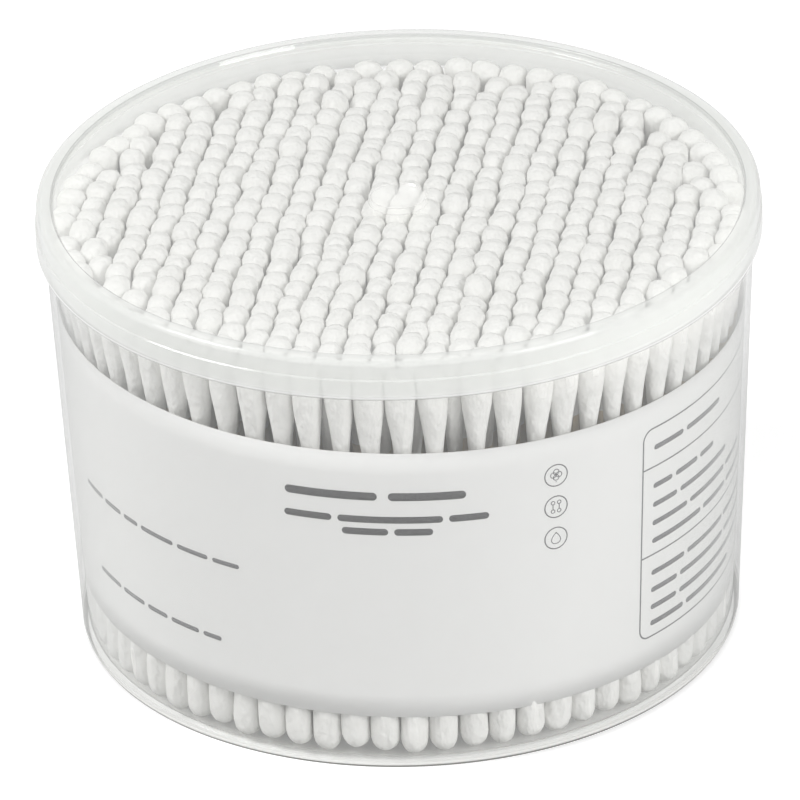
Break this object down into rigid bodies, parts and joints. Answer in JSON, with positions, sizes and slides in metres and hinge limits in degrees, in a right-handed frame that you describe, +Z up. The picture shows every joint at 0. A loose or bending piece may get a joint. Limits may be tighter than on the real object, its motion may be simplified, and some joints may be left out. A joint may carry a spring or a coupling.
{
  "type": "tub of cotton swabs",
  "caption": "Round tapered clear tub with a pull-off lid and a paper label inside its wall, filled with double-headed cotton swabs stood on end.",
  "frame": {"origin": "middle of the underside, on the plane the foot ring stands on", "axes": "+Z up, out through the lid; -Y towards the printed front of the label"},
  "size_m": [0.12, 0.12, 0.0785],
  "materials": {
    "tub_plastic": "clear slightly milky polypropylene, glossy",
    "lid_plastic": "clear slightly milky polypropylene, glossy",
    "label_paper": "smooth white paper with grey print",
    "cotton": "wound white cotton on a pale bamboo stick"
  },
  "bodies": {
    "tub": {"tub": "tub_plastic", "paper_label": "label_paper", "swab_ring": "cotton", "swab_wedge_01": "cotton", "swab_wedge_02": "cotton", "swab_wedge_03": "cotton", "swab_wedge_04": "cotton", "swab_wedge_05": "cotton", "swab_wedge_06": "cotton", "swab_wedge_07": "cotton", "swab_wedge_08": "cotton", "swab_wedge_09": "cotton", "swab_wedge_10": "cotton", "swab_wedge_11": "cotton", "swab_wedge_12": "cotton", "swab_wedge_13": "cotton", "swab_wedge_14": "cotton", "swab_wedge_15": "cotton", "swab_wedge_16": "cotton", "swab_wedge_17": "cotton", "swab_wedge_18": "cotton", "swab_wedge_19": "cotton", "swab_wedge_20": "cotton", "swab_wedge_21": "cotton", "swab_wedge_22": "cotton", "swab_wedge_23": "cotton", "swab_wedge_24": "cotton"},
    "lid": {"lid": "lid_plastic"}
  },
  "joints": [
    {"name": "lid_lift", "type": "slide", "parent": "tub", "child": "lid", "axis": [0, 0, 1], "range_m": [0, 0.05]}
  ]
}
